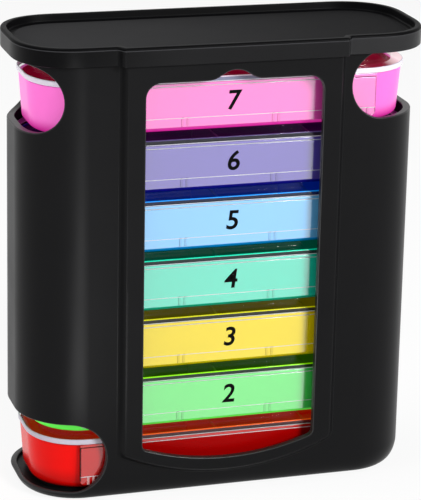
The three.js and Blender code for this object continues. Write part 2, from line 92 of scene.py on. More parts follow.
# Day boxes, with heights above the underside of the tray
RIM_HALF_X, RIM_HALF_Y, RIM_CORNER = 65.65, 22.9, 18.45
RIM_FOOT, RIM_TOP, PLATFORM_TOP = 16.6, 18.5, 20.35
RIM_EDGE = 0.35
# The rim's frosted ends, painted light, start this far from the middle
LIT_RIM_ENDS_FROM = 39.0
PLATFORM_INSET, PLATFORM_EDGE = 4.2, 0.5
LID_SHELL, LID_HOLLOW_EDGE, LID_UNDERSIDE_RAISE = 1.2, 0.8, 0.1
LID_PLUG_INSET, LID_PLUG_WALL, LID_PLUG_DEPTH = 1.5, 1.0, 1.5
APRON_DROP, APRON_GAP = 0.9, 0.01
TRAY_HALF_X, TRAY_HALF_Y, TRAY_CORNER = 65.05, 21.65, 17.2
TRAY_TOP, TRAY_WALL, TRAY_FLOOR = 16.3, 1.2, 1.2
TRAY_DRAFT_X, TRAY_DRAFT_Y = 1.0, 0.3
TRAY_FOOT_EDGE, TRAY_FLOOR_EDGE, TRAY_RIM_EDGE = 2.0, 1.4, 0.25
DIVIDERS = (-32.175, 0.0, 32.175)
DIVIDER_WALL, DIVIDER_TOP, DIVIDER_SINK, DIVIDER_EDGE = 1.0, 14.5, 0.4, 0.2
PLATE_HALF, PLATE_FRONT, PLATE_BACK = 50.6, -22.9, -21.9
PLATE_FOOT, PLATE_TOP, PLATE_CORNER, PLATE_EDGE = 1.8, 15.45, 1.6, 0.1
LABEL_HALF = 42.0
HEM_TOP, HEM_STEP, HEM_EDGE, HEM_OVERLAP = 4.95, 0.2, 0.2, 0.3
LINE_WIDTH, LINE_RAISE, LINE_EDGE, END_LINE_WIDTH = 0.24, 0.03, 0.05, 0.3
CLIPS = (-46.9, -15.63, 15.63, 46.9)
CLIP_WIDTH, CLIP_HEIGHT, CLIP_PRONG = 2.7, 3.3, 0.85
NUMBER_X, NUMBER_HEIGHT = 1.3, 10.2
NUMBER_SIZE, NUMBER_SLANT, NUMBER_WEIGHT = 9.2, 0.12, 0.15
NUMBER_DEPTH, NUMBER_RAISE = 0.03, 0.031

# The photograph's view, found by fitting the tower's edges
IMAGE_HEIGHT, FOCAL_PIXELS, SENSOR_WIDTH = 500, 2379.3, 36.0
VIEW_AZIMUTH = -17.199
VIEW_ELEVATION = 17.952
VIEW_ROLL = 1.216
VIEW_DISTANCE = 820.27 * MM
VIEW_TARGET = Vector((0.94, 1.35, 78.18)) * MM


def new_object(name, data):
    thing = bpy.data.objects.new(name, data)
    bpy.context.scene.collection.objects.link(thing)
    return thing


def make_camera():
    data = bpy.data.cameras.new("camera")
    data.sensor_width = SENSOR_WIDTH
    data.lens = FOCAL_PIXELS * SENSOR_WIDTH / IMAGE_HEIGHT
    camera = new_object("camera", data)
    azimuth, elevation, roll = (math.radians(v) for v in (VIEW_AZIMUTH, VIEW_ELEVATION, VIEW_ROLL))
    level = math.cos(elevation)
    back = Vector((math.sin(azimuth) * level, -math.cos(azimuth) * level, math.sin(elevation)))
    right = Vector((math.cos(azimuth), math.sin(azimuth), 0))
    up = back.cross(right)
    turned_right = math.cos(roll) * right + math.sin(roll) * up
    turned_up = math.cos(roll) * up - math.sin(roll) * right
    pose = Matrix((turned_right, turned_up, back)).transposed().to_4x4()
    pose.translation = VIEW_TARGET + VIEW_DISTANCE * back
    camera.matrix_world = pose
    bpy.context.scene.camera = camera


# Materials

CLOUD_SCALE, CLOUD_DETAIL = 60, 3
GRAIN_SCALE, GRAIN_DETAIL, GRAIN_DEPTH = 2500, 2, 0.05 * MM


def linear(color):
    def one(value):
        share = value / 255
        return share / 12.92 if share <= 0.04045 else ((share + 0.055) / 1.055) ** 2.4
    return one(color[0]), one(color[1]), one(color[2]), 1.0


def set_inputs(node, values):
    for name, value in values.items():
        node.inputs[name].default_value = value


def fade_in(material, start_color, start, end, axis="Z"):
    """Painted light and shade: another colour up to start on an axis, which passes into the material's own by
    end, in millimetres
    """
    nodes, links = material.node_tree.nodes, material.node_tree.links
    shader = nodes["Principled BSDF"]
    place, split = nodes.new("ShaderNodeTexCoord"), nodes.new("ShaderNodeSeparateXYZ")
    share, mix = nodes.new("ShaderNodeMapRange"), nodes.new("ShaderNodeMix")
    share.interpolation_type = "SMOOTHSTEP"
    set_inputs(share, {"From Min": start * MM, "From Max": end * MM})
    mix.data_type = "RGBA"
    set_inputs(mix, {"A": linear(start_color)})
    links.new(place.outputs["Object"], split.inputs[0])
    links.new(split.outputs[axis], share.inputs["Value"])
    links.new(share.outputs["Result"], mix.inputs["Factor"])
    links.new(shader.inputs["Base Color"].links[0].from_socket, mix.inputs["B"])
    links.new(mix.outputs["Result"], shader.inputs["Base Color"])
    if shader.inputs["Emission Strength"].default_value:
        links.new(mix.outputs["Result"], shader.inputs["Emission Color"])


def plastic(name, color, roughness, ior=1.5, specular=0.5, alpha=1.0, spread=0.0, grain=0.0, mottle=0.0,
            painted_glow=0.0):
    """Moulded plastic: a slow roughness variation, faint colour mottle and a fine surface grain"""
    material = bpy.data.materials.new(name)
    material.use_nodes = True
    nodes, links = material.node_tree.nodes, material.node_tree.links
    shader = nodes["Principled BSDF"]
    # Any emission is a painted glow, in the material's own colour
    set_inputs(shader, {
        "Base Color": linear(color), "Roughness": roughness, "IOR": ior, "Specular IOR Level": specular,
        "Alpha": alpha, "Emission Color": linear(color), "Emission Strength": painted_glow,
    })
    place = nodes.new("ShaderNodeTexCoord")

    def noise(scale, detail):
        node = nodes.new("ShaderNodeTexNoise")
        set_inputs(node, {"Scale": scale, "Detail": detail})
        links.new(place.outputs["Object"], node.inputs["Vector"])
        return node
    cloud = noise(CLOUD_SCALE, CLOUD_DETAIL) if spread or mottle else None
    if spread:
        rough = nodes.new("ShaderNodeMapRange")
        set_inputs(rough, {"To Min": roughness - spread, "To Max": roughness + spread})
        links.new(cloud.outputs["Fac"], rough.inputs["Value"])
        links.new(rough.outputs["Result"], shader.inputs["Roughness"])
    if mottle:
        mix = nodes.new("ShaderNodeMix")
        mix.data_type = "RGBA"
        set_inputs(mix, {
            "A": linear([v * (1 - mottle) for v in color]),
            "B": linear([min(255, v * (1 + mottle)) for v in color]),
        })
        links.new(cloud.outputs["Fac"], mix.inputs["Factor"])
        links.new(mix.outputs["Result"], shader.inputs["Base Color"])
    if grain:
        bump = nodes.new("ShaderNodeBump")
        set_inputs(bump, {"Strength": grain, "Distance": GRAIN_DEPTH})
        links.new(noise(GRAIN_SCALE, GRAIN_DETAIL).outputs["Fac"], bump.inputs["Height"])
        links.new(bump.outputs["Normal"], shader.inputs["Normal"])
    return material


TRAY_COLORS = {
    1: (225, 6, 2), 2: (95, 225, 80), 3: (225, 205, 0), 4: (0, 185, 150),
    5: (0, 150, 225), 6: (16, 16, 150), 7: (204, 94, 169),
}
# Painted shade: the tray's wall is darker towards its foot, where it meets its floor
TRAY_FOOT_SHADE_COLORS = {
    1: (175, 4, 2), 2: (85, 205, 70), 3: (205, 185, 0), 4: (0, 165, 130),
    5: (0, 130, 205), 6: (14, 14, 130), 7: (180, 30, 130),
}
# The height over which that colour passes into the wall's own
TRAY_FADE = {day: 5.0 if day == 7 else 8.0 for day in DAYS}
# Painted glow: two trays glow for the light that comes through their walls, seen in the exit and the grips
TRAY_PAINTED_GLOW = {2: 0.5, 7: 0.67}
# Painted shade and glow: darker colours inside a covered tray, which glow for the light through its walls
INSIDE_SHADE_COLORS = {
    1: (175, 6, 0), 2: (80, 150, 0), 3: (160, 150, 0), 4: (0, 135, 105),
    5: (0, 60, 195), 6: (58, 0, 84), 7: (205, 0, 75),
}
INSIDE_PAINTED_GLOW = {1: 0.4, 2: 0.12, 3: 0.14, 4: 0.16, 5: 0.16, 6: 0.12, 7: 0.16}
PLATE_COLORS = {
    1: (178, 6, 4), 2: (68, 214, 86), 3: (222, 198, 0), 4: (28, 200, 168),
    5: (98, 178, 232), 6: (80, 66, 162), 7: (236, 80, 182),
}
# Where painted light and shade fade along x on some pieces
LID_END_REFLECTION_FADE, CAP_TRAY_LIGHT_FADE, CAP_SKIRT_SHADE_FADE = (54, 60), (-60, 65), (-55, -15)
# How strongly each plate mirrors the bright floor
PLATE_IOR = {1: 1.9, 2: 3.0, 3: 2.1, 4: 3.0, 5: 3.0, 6: 3.0, 7: 3.0}
CLIP_SHADE, CLIP_IOR_DROP = 0.92, 0.08
# Painted glint: the front edge of a lid glows in these colours, for the bright top of the tray's wall
GLINT_COLORS = {
    1: (215, 80, 10), 2: (140, 235, 0), 3: (205, 205, 0), 4: (0, 215, 170),
    5: (20, 140, 235), 6: (70, 60, 110), 7: (225, 205, 222),
}


def tray_outside(day, height):
    material = plastic(
        f"tray_{day}", TRAY_COLORS[day], roughness=0.2, specular=0.1, spread=0.03, mottle=0.03,
        painted_glow=TRAY_PAINTED_GLOW.get(day, 0.0),
    )
    fade_in(material, TRAY_FOOT_SHADE_COLORS[day], height, height + TRAY_FADE[day])
    return material


# Painted shade and glow for the inside of a covered tray
def tray_inside(day):
    return plastic(
        f"tray_inside_{day}", INSIDE_SHADE_COLORS[day], roughness=0.3, specular=0.15, mottle=0.03,
        painted_glow=INSIDE_PAINTED_GLOW[day],
    )


def lid_clear():
    return plastic("lid_clear", (14, 15, 18), roughness=0.04, ior=2.2, alpha=0.12, spread=0.01)


def lid_shaded():
    """For lid 6, which the tray above leaves hardly any white to mirror"""
    return plastic("lid_shaded", (14, 6, 12), roughness=0.04, alpha=0.12, spread=0.01)


# Painted light: the rim's ends, which show in the exit and the grips, are frosted and painted near white
def lid_frosted():
    return plastic("lid_frosted", (226, 221, 234), roughness=0.25, alpha=0.93, spread=0.05)


def lid_frosted_low():
    """For the lowest lid, whose rim lies in the shade of the wall above the exit"""
    return plastic("lid_frosted_low", (188, 182, 196), roughness=0.3, alpha=0.93, spread=0.05)


# Painted highlight: a near-white line along the rim's lower rounded edge
def lid_shine():
    return plastic("lid_edge_highlight", (240, 242, 248), roughness=0.1, alpha=0.75, spread=0.03)


# Painted shade: the middle of the rim's face, between its rounded edges, is a dark grey copy of the rim
def lid_front():
    return plastic("lid_front", (34, 37, 42), roughness=0.1, alpha=0.8, spread=0.03)


def lid_front_top():
    """Painted light: a lighter front for the highest lid, whose front shows in the thumb hump"""
    return plastic("lid_front_top", (128, 134, 160), roughness=0.15, specular=0.2, alpha=0.85, spread=0.03)


def lid_glint(day):
    return plastic(f"lid_glint_{day}", GLINT_COLORS[day], roughness=0.15, alpha=0.8, spread=0.03, painted_glow=0.35)


def lid_top_end():
    """Painted reflection: for the highest lid, whose right end mirrors the white behind the tower through the
    grip
    """
    material = plastic(
        "lid_top_end", (250, 218, 222), roughness=0.1, alpha=0.8, spread=0.03, mottle=0.02, painted_glow=0.6,
    )
    fade_in(material, (140, 10, 48), *LID_END_REFLECTION_FADE, axis="X")
    return material


def plate_clear(day):
    return plastic(f"plate_{day}", PLATE_COLORS[day], roughness=0.02, ior=PLATE_IOR[day], spread=0.01)


def lowest_label():
    """Painted shade: the label area of the lowest plate is a darker red that mirrors hardly any floor"""
    return plastic("label_1_shaded", (150, 2, 2), roughness=0.2, specular=0.04, spread=0.02)


def plate_clip(day):
    # Painted highlight: the lowest plate's clips are pale, for the bright edges they show in the exit
    if day == 1:
        return plastic("clip_1", (240, 205, 203), roughness=0.1, alpha=0.45, spread=0.02)
    color = [v * CLIP_SHADE for v in PLATE_COLORS[day]]
    return plastic(f"clip_{day}", color, roughness=0.08, ior=PLATE_IOR[day] - CLIP_IOR_DROP, spread=0.02)


# Painted highlight: near-white lines along the hem and the plate's upper edge
def plate_line():
    return plastic("plate_line", (236, 238, 242), roughness=0.2, alpha=0.6, spread=0.05)


def plate_end_line(name, alpha):
    return plastic(name, (20, 14, 16), roughness=0.3, alpha=alpha, spread=0.05)


def number_ink():
    return plastic("number_ink", (5, 5, 6), roughness=0.6, specular=0.05, spread=0.05)


def grained_black(name, color):
    return plastic(name, color, roughness=0.33, specular=0.07, spread=0.05, grain=0.25, mottle=0.06)


def wall_black():
    return grained_black("tower_black", (17, 17, 18))


# Polished, and painted lighter than the wall as a highlight along the lips round the openings
def polished_black():
    return plastic("tower_edges_highlight", (30, 30, 31), roughness=0.28, specular=0.25, spread=0.05, mottle=0.06)


# Painted shade: the cap rim's top and inner side, and a strip of the tray's floor along it, are a darker
# black
def rim_black():
    return plastic("tower_rim", (7, 7, 8), roughness=0.4, specular=0.03, spread=0.05, grain=0.2, mottle=0.06)


# Painted highlight: a lighter line below the cap rim's round edge
def rim_line_black():
    return plastic("tower_rim_edge_highlight", (52, 52, 54), roughness=0.35, specular=0.07, spread=0.05, mottle=0.06)


# Painted reflection: the cap's tray floor is lighter towards its left end
def tray_floor_black():
    material = plastic(
        "tower_matt_lit_left", (24, 24, 25), roughness=0.7, specular=0.03, spread=0.05, grain=0.4, mottle=0.06,
    )
    fade_in(material, (48, 48, 49), *CAP_TRAY_LIGHT_FADE, axis="X")
    return material


# Painted shade: the cap's skirt is darker towards its left end
def left_skirt_black():
    material = grained_black("tower_skirt", (25, 25, 26))
    fade_in(material, (4, 4, 5), *CAP_SKIRT_SHADE_FADE, axis="X")
    return material


# Painted light: the skirt to the right of the step is a lighter black
def right_skirt_black():
    return grained_black("tower_skirt_right_lit", (41, 41, 42))


# Mesh making

def piece(name, points, faces, materials, body, replaces, bands=None, normals=None):
    """An object from points in millimetres, riding on a body"""
    mesh = bpy.data.meshes.new(name)
    place = np.array(points) + (0, CENTRE_SHIFT, 0)
    mesh.from_pydata((place * MM).tolist(), [], faces)
    for material in materials:
        mesh.materials.append(material)
    if bands:
        mesh.polygons.foreach_set("material_index", bands)
    mesh.polygons.foreach_set("use_smooth", [True] * len(mesh.polygons))
    mesh.update()
    thing = new_object(name, mesh)
    if normals:
        mesh.normals_split_custom_set_from_vertices(normals)
    else:
        mesh.set_sharp_from_angle(angle=math.radians(SHARP_DEGREES))
        thing.modifiers.new("weighted", "WEIGHTED_NORMAL").keep_sharp = True
    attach(thing, body)
    if replaces:
        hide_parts(*replaces)
    return thing


def rounded(half_x, half_y, corners, steps=ARC_STEPS, split=None):
    """Outline points, anticlockwise from the right; corners are the radii from the upper right on"""
    points = []
    signs = ((1, 1), (-1, 1), (-1, -1), (1, -1))
    for turn, ((sx, sy), corner) in enumerate(zip(signs, corners)):
        for step in range(steps + 1):
            angle = math.pi / 2 * (turn + step / steps)
            points.append((
                sx * (half_x - corner) + corner * math.cos(angle),
                sy * (half_y - corner) + corner * math.sin(angle),
            ))
        if split and turn in (0, 2):
            points += [(sx * split, sy * half_y), (-sx * split, sy * half_y)]
    return points


def ring(half_x, half_y, corner, z, split=None):
    return [(x, y, z) for x, y in rounded(half_x, half_y, (corner,) * 4, split=split)]


def edge(inset, steps=EDGE_STEPS, drop=None):
    """Steps of a rounded edge as (inset, drop) pairs, from the side to the end face"""
    turns = [math.pi / 2 * i / steps for i in range(steps + 1)]
    return [(inset * (1 - math.cos(turn)), (drop or inset) * (1 - math.sin(turn))) for turn in turns]


class Build:
    """Collects points, faces and the material of each face"""

    def __init__(self):
        self.points, self.faces, self.bands = [], [], []

    def sweep(self, rings, band_of=lambda level, x: 0, caps=True):
        base, count = len(self.points), len(rings[0])
        for one in rings:
            self.points.extend(one)
        for level in range(len(rings) - 1):
            for i in range(count):
                j = (i + 1) % count
                here = base + level * count
                self.faces.append((here + i, here + j, here + j + count, here + i + count))
                middle = (self.points[here + i][0] + self.points[here + j][0]) / 2
                self.bands.append(band_of(level, middle))
        if caps:
            last = base + (len(rings) - 1) * count
            self.faces.append(tuple(range(base + count - 1, base - 1, -1)))
            self.faces.append(tuple(range(last, last + count)))
            self.bands += [band_of(0, 0), band_of(len(rings) - 1, 0)]

    def slab(self, low, high, radius, along="z", corners=None, band=0):
        """A block with rounded edges; corners are the outline's radii, seen along the given axis"""
        low, high = np.array(low, float), np.array(high, float)
        centre, half = (low + high) / 2, (high - low) / 2
        a, b, c = {"z": (0, 1, 2), "y": (2, 0, 1), "x": (1, 2, 0)}[along]
        corners = corners or (radius,) * 4
        rings = []
        profile = edge(radius)
        levels = [(i, d - half[c]) for i, d in reversed(profile)] + [(i, half[c] - d) for i, d in profile]
        for inset, level in levels:
            radii = [max(r - inset, SMALLEST_CORNER) for r in corners]
            one = []
            for u, v in rounded(half[a] - inset, half[b] - inset, radii, SLAB_CORNER_STEPS):
                spot = centre.copy()
                spot[a] += u
                spot[b] += v
                spot[c] += level
                one.append(tuple(spot))
            rings.append(one)
        self.sweep(rings, lambda level, x: band)

    def lifted(self, height):
        return [(x, y, z + height) for x, y, z in self.points]


# Day boxes

def build_tray():
    """Materials: 0 outside, 1 inside"""
    build = Build()

    def at(inset, z, lean):
        return ring(
            TRAY_HALF_X - inset - TRAY_DRAFT_X * lean, TRAY_HALF_Y - inset - TRAY_DRAFT_Y * lean,
            TRAY_CORNER - inset, z,
        )
    rim = edge(TRAY_RIM_EDGE)
    rings = [at(i, d, 1) for i, d in reversed(edge(TRAY_FOOT_EDGE, TRAY_FOOT_STEPS))]
    rings += [at(i, TRAY_TOP - d, 0) for i, d in rim]
    rings += [at(TRAY_WALL - i, TRAY_TOP - d, 0) for i, d in reversed(rim)]
    inside_from = len(rings) - 1
    rings += [at(TRAY_WALL + i, TRAY_FLOOR + d, 1) for i, d in edge(TRAY_FLOOR_EDGE, TRAY_FLOOR_STEPS)]
    build.sweep(rings, lambda level, x: int(level >= inside_from))
    reach = TRAY_HALF_Y - TRAY_WALL / 2 - TRAY_DRAFT_Y
    for x in DIVIDERS:
        build.slab(
            (x - DIVIDER_WALL / 2, -reach, TRAY_FLOOR - DIVIDER_SINK),
            (x + DIVIDER_WALL / 2, reach, DIVIDER_TOP), DIVIDER_EDGE, band=1,
        )
    return build


def build_lid():
    """Materials: 0 clear, 1 frosted rim ends, painted light, 2 a painted highlight along the rim's lower
    edge,
    3 rim front, painted dark as shade, 4 edge over the tray's wall, which shows its colour as a painted
    glint,
    5 apron, 6 the rim's flat top at the right end, with a painted reflection on the highest lid"""
    build = Build()

    def rim(inset, z):
        return ring(RIM_HALF_X - inset, RIM_HALF_Y - inset, RIM_CORNER - inset, z, LIT_RIM_ENDS_FROM)

    def plug(inset, z):
        return ring(TRAY_HALF_X - inset, TRAY_HALF_Y - inset, TRAY_CORNER - inset, z, LIT_RIM_ENDS_FROM)
    hollow, ceiling = PLATFORM_INSET + LID_SHELL, PLATFORM_TOP - LID_SHELL
    underside = RIM_FOOT + LID_UNDERSIDE_RAISE
    plug_inside, plug_foot = LID_PLUG_INSET + LID_PLUG_WALL, RIM_FOOT - LID_PLUG_DEPTH
    rings = [rim(hollow + LID_HOLLOW_EDGE, ceiling), rim(hollow, ceiling - LID_HOLLOW_EDGE)]
    rings += [rim(hollow, underside), plug(plug_inside, underside), plug(plug_inside, plug_foot)]
    rings += [plug(LID_PLUG_INSET, plug_foot), plug(LID_PLUG_INSET, RIM_FOOT)]
    first = len(rings)
    rings += [rim(i, RIM_FOOT + d) for i, d in reversed(edge(RIM_EDGE))]
    rings += [rim(i, RIM_TOP - d) for i, d in edge(RIM_EDGE)]
    last = len(rings) - 2
    rings += [rim(PLATFORM_INSET, RIM_TOP)]
    rings += [rim(PLATFORM_INSET + i, PLATFORM_TOP - d) for i, d in edge(PLATFORM_EDGE)]

    def band_of(level, x):
        if level == last + 1 and x > LIT_RIM_ENDS_FROM:
            return 6
        if not first <= level <= last:
            return 0
        if abs(x) > LIT_RIM_ENDS_FROM:
            return 1
        return (2, 2, 2, 3, 4, 4, 4)[level - first]
    build.sweep(rings, band_of)
    build.slab(
        (-PLATE_HALF, PLATE_FRONT, RIM_FOOT - APRON_DROP), (PLATE_HALF, PLATE_BACK, RIM_FOOT - APRON_GAP),
        PLATE_EDGE, "y", band=5,
    )
    return build


def build_plate():
    """Materials: 0 label area, 1 clips, 2 ends and hem, 3 the painted highlight lines along the hem and the
    upper edge, 4 the dark lines round the ends"""
    build = Build()
    parts = [(-PLATE_HALF, -LABEL_HALF, 2), (-LABEL_HALF, LABEL_HALF, 0), (LABEL_HALF, PLATE_HALF, 2)]
    for left, right, band in parts:
        build.slab((left, PLATE_FRONT, HEM_TOP), (right, PLATE_BACK, PLATE_TOP), PLATE_EDGE, "y", band=band)
    top = PLATE_TOP + LINE_WIDTH / 2
    lines = [
        (-PLATE_HALF, PLATE_HALF, HEM_TOP, 3), (-LABEL_HALF, LABEL_HALF, top, 3),
        (-PLATE_HALF, -LABEL_HALF, top, 4), (LABEL_HALF, PLATE_HALF, top, 4),
    ]
    for left, right, height, band in lines:
        build.slab(
            (left, PLATE_FRONT - LINE_RAISE, height - LINE_WIDTH / 2),
            (right, PLATE_BACK, height + LINE_WIDTH / 2), LINE_EDGE, "y", band=band,
        )
    for left in (-PLATE_HALF, PLATE_HALF - END_LINE_WIDTH):
        build.slab(
            (left, PLATE_FRONT - LINE_RAISE, PLATE_FOOT + PLATE_CORNER),
            (left + END_LINE_WIDTH, PLATE_BACK, PLATE_TOP), LINE_EDGE, "y", band=4,
        )
    build.slab(
        (-PLATE_HALF, PLATE_FRONT + HEM_STEP, PLATE_FOOT), (PLATE_HALF, PLATE_BACK, HEM_TOP + HEM_OVERLAP),
        HEM_EDGE, "y", corners=(HEM_EDGE, PLATE_CORNER, PLATE_CORNER, HEM_EDGE), band=2,
    )
    low = PLATE_FOOT + HEM_STEP
    for x in CLIPS:
        for side in (-1, 1):
            middle = x + side * (CLIP_WIDTH - CLIP_PRONG) / 2
            build.slab(
                (middle - CLIP_PRONG / 2, PLATE_FRONT, low),
                (middle + CLIP_PRONG / 2, PLATE_BACK, low + CLIP_HEIGHT), PLATE_EDGE, "y", band=1,
            )
    return build


def make_number(day, ink):
    curve = bpy.data.curves.new(f"number_{day}", "FONT")
    curve.body = str(day)
    curve.size = NUMBER_SIZE * MM
    curve.shear = NUMBER_SLANT
    curve.offset = NUMBER_WEIGHT * MM
    curve.extrude = NUMBER_DEPTH * MM
    thing = new_object(f"number_curve_{day}", curve)
    mesh = bpy.data.meshes.new_from_object(thing.evaluated_get(bpy.context.evaluated_depsgraph_get()))
    bpy.data.objects.remove(thing)
    flat = np.array([v.co for v in mesh.vertices])
    flat[:, :2] -= (flat[:, :2].min(axis=0) + flat[:, :2].max(axis=0)) / 2
    height = FLOOR + (day - 1) * DAY_PITCH + NUMBER_HEIGHT
    points = np.column_stack([
        flat[:, 0] / MM + NUMBER_X, PLATE_FRONT - NUMBER_RAISE - flat[:, 2] / MM, flat[:, 1] / MM + height,
    ])
    faces = [tuple(p.vertices) for p in mesh.polygons]
    piece(f"number_{day}", points, faces, [ink], f"day_box_{day}", [])


def make_boxes():
    clear, frosted, shine, front = lid_clear(), lid_frosted(), lid_shine(), lid_front()
    line, end_line, ink = plate_line(), plate_end_line("plate_end_line", 0.32), number_ink()
    tray, lid, plate = build_tray(), build_lid(), build_plate()
    for day in DAYS:
        height = FLOOR + (day - 1) * DAY_PITCH
        body = f"day_box_{day}"
        plate_look = plate_clear(day)
        tray_looks = [tray_outside(day, height), tray_inside(day)]
        lid_looks = [clear, frosted, shine, front, lid_glint(day), plate_look, clear]
        plate_looks = [plate_look, plate_clip(day), plate_look, line, end_line]
        if day == 1:
            lid_looks[1] = lid_frosted_low()
            plate_looks[0], plate_looks[4] = lowest_label(), plate_end_line("plate_end_line_low", 0.6)
        elif day == 6:
            lid_looks[0] = lid_shaded()
        elif day == 7:
            lid_looks[3], lid_looks[6] = lid_front_top(), lid_top_end()
        piece(f"tray_{day}", tray.lifted(height), tray.faces, tray_looks, body,
              [f"day_tray_{day}"], tray.bands)
        piece(f"lid_{day}", lid.lifted(height), lid.faces, lid_looks, body if day == 1 else f"{body}_lid",
              [f"day_lid_{day}"], lid.bands)
        piece(f"plate_{day}", plate.lifted(height), plate.faces, plate_looks, body,
              [f"name_plate_{day}"], plate.bands)
        if day > 1:
            make_number(day, ink)


# Tower lid

def cap_outline(inset):
    half_x, half_y, corner = CAP_HALF_X - inset, CAP_HALF_Y - inset, CAP_CORNER - inset
    middle = CAP_STEP_MIDDLE - CAP_STEP_SHARE * inset
    bulge = -half_y - PANEL_RAISE
    points = []

    def bend(x0, y0, x1, y1):
        for step in range(CAP_STEP_TURNS + 1):
            t = step / CAP_STEP_TURNS
            x = x0 + (x1 - x0) * (3 * t * (1 - t) / 2 + t ** 3)
            y = y0 + (y1 - y0) * (3 * t * t * (1 - t) + t ** 3)
            points.append((x, y))
    for turn, (sx, sy) in enumerate(((1, 1), (-1, 1), (-1, -1), (1, -1))):
        if turn == 3:
            bend(-middle - PANEL_SLOPE / 2, -half_y, -middle + PANEL_SLOPE / 2, bulge)
            bend(middle - PANEL_SLOPE / 2, bulge, middle + PANEL_SLOPE / 2, -half_y)
        for step in range(ARC_STEPS + 1):
            angle = math.pi / 2 * step / ARC_STEPS
            reach = [corner * math.cos(angle) ** CAP_FULLNESS, corner * math.sin(angle) ** CAP_FULLNESS]
            if turn % 2:
                reach.reverse()
            points.append((sx * (half_x - corner + reach[0]), sy * (half_y - corner + reach[1])))
    return points


def make_tower_lid():
    """Materials: 0 skirt, with painted shade towards its left end, 1 the tray's floor, painted lighter
    towards its left end, 2 the rim's top and inner side and a strip of the floor along it, painted dark as
    shade, 3 a painted highlight line below the rim's round edge, 4 the skirt to the right of the step,
    painted lighter"""
    build = Build()

    def at(inset, z):
        return [(x, y, z) for x, y in cap_outline(inset)]
    foot_from, top_from = CAP_SKIRT_FOOT + CAP_SKIRT_OUTER_EDGE, CAP_TOP - CAP_RIM_ROUND_DROP - CAP_RIM_HIGHLIGHT_LINE
    rings = [at(CAP_SKIRT_WALL, CAP_UNDERSIDE), at(CAP_SKIRT_WALL, CAP_SKIRT_FOOT + CAP_SKIRT_INNER_EDGE)]
    rings += [at(CAP_SKIRT_WALL - CAP_SKIRT_INNER_EDGE, CAP_SKIRT_FOOT)]
    rings += [at(CAP_SKIRT_OUTER_EDGE, CAP_SKIRT_FOOT), at(0, foot_from)]
    skirt_to = len(rings) - 1
    rings += [at(0, top_from)]
    rings += [at(i, CAP_TOP - d) for i, d in edge(CAP_RIM_ROUND, CAP_RIM_STEPS, CAP_RIM_ROUND_DROP)]
    inner_edge = edge(CAP_RIM_INNER_EDGE, CAP_EDGE_STEPS)
    rings += [at(CAP_RIM_WIDTH - i, CAP_TOP - d) for i, d in reversed(inner_edge)]
    tray_from = CAP_RIM_WIDTH + CAP_TRAY_LEAN
    rings += [at(tray_from + i, CAP_TRAY_FLOOR + d) for i, d in edge(CAP_TRAY_EDGE, CAP_EDGE_STEPS)]
    # A strip of the tray's floor along the rim, painted dark as shade
    rings += [at(tray_from + CAP_TRAY_EDGE + CAP_SHADE_WIDTH, CAP_TRAY_FLOOR)]

    def band_of(level, x):
        if level <= skirt_to:
            return 4 if x > CAP_STEP_MIDDLE else 0
        if level == skirt_to + 1:
            return 3
        return 1 if level >= len(rings) - 1 else 2
    build.sweep(rings, band_of)
    reach_x, reach_y = CORNER_X + INNER_CORNER_X - PLUG_GAP, CORNER_Y + INNER_CORNER_Y - PLUG_GAP
    plug_foot = CAP_UNDERSIDE - PLUG_DEPTH
    plug = ((PLUG_WALL, CAP_UNDERSIDE), (PLUG_WALL, plug_foot), (0, plug_foot), (0, CAP_UNDERSIDE))
    build.sweep([ring(reach_x - i, reach_y - i, PLUG_CORNER - i, z) for i, z in plug], caps=False)
    looks = [left_skirt_black(), tray_floor_black(), rim_black(), rim_line_black(), right_skirt_black()]
    return piece("lid_of_tower", build.points, build.faces, looks, "tower_lid", ["tower_lid"],
                 build.bands)


# Housing: both skins of the wall are functions of the way round it, s, and the height, z

QUARTER = OUTER_CORNER * math.pi / 2
BREAKS = np.cumsum([
    0, CORNER_X, QUARTER, 2 * CORNER_Y, QUARTER, 2 * CORNER_X, QUARTER, 2 * CORNER_Y, QUARTER, CORNER_X,
])
ROUND = BREAKS[-1]
FRONT = BREAKS[4] + CORNER_X
# Numbers of steps along the outlines
ARCH_STEPS, CURL_STEPS, WINDOW_TURNS, HUMP_STEPS = 36, 6, 10, 10
SLOT_TURNS, SLOT_STEPS, TOP_STEPS, TOP_STEPS_BEHIND = 30, 49, 119, 49
FOOT_TURNS, WAY_STEPS, SEAM_STEPS, PANEL_SIDE_STEPS = 7, 160, 45, 8
# The outline of the panel runs on past the wall's top
PANEL_OVERRUN = 20
# Least cosine of half a corner's turn that counts when a loop is offset, so no corner moves far
LEAST_COSINE = 0.6
# Steps of the wall's mesh: round the corners, along the straight parts, up, and along the panel's edge
CORNER_STEP, STRAIGHT_STEP, ROW_STEP, PANEL_STEP = 1.9, 3.0, 3.4, 1.2
# The close rows, how far they go past the foot's edge, and the height where the others start
LOW_ROWS, LOW_ROWS_PAST, FIRST_ROW = 8, 1, 12
# The plain grid stays this far from the panel's outline, outside it and inside it
GRID_GAP_OUTSIDE, GRID_GAP_INSIDE = 2.2, 3.7
# The mesh's inner points stay this far from the openings' edges, the foot and the top
GRID_ROOM, PANEL_ROOM, FOOT_ROOM, TOP_ROOM = 0.9, 0.5, 0.3, 1
MERGE_DISTANCE = 1e-6
# Steps to the side that give a skin's normal and a lip's direction, and a normal's lowest height
NORMAL_STEP, LIP_LOOK, LOWEST_LEVEL = 0.02, 0.05, 0.05


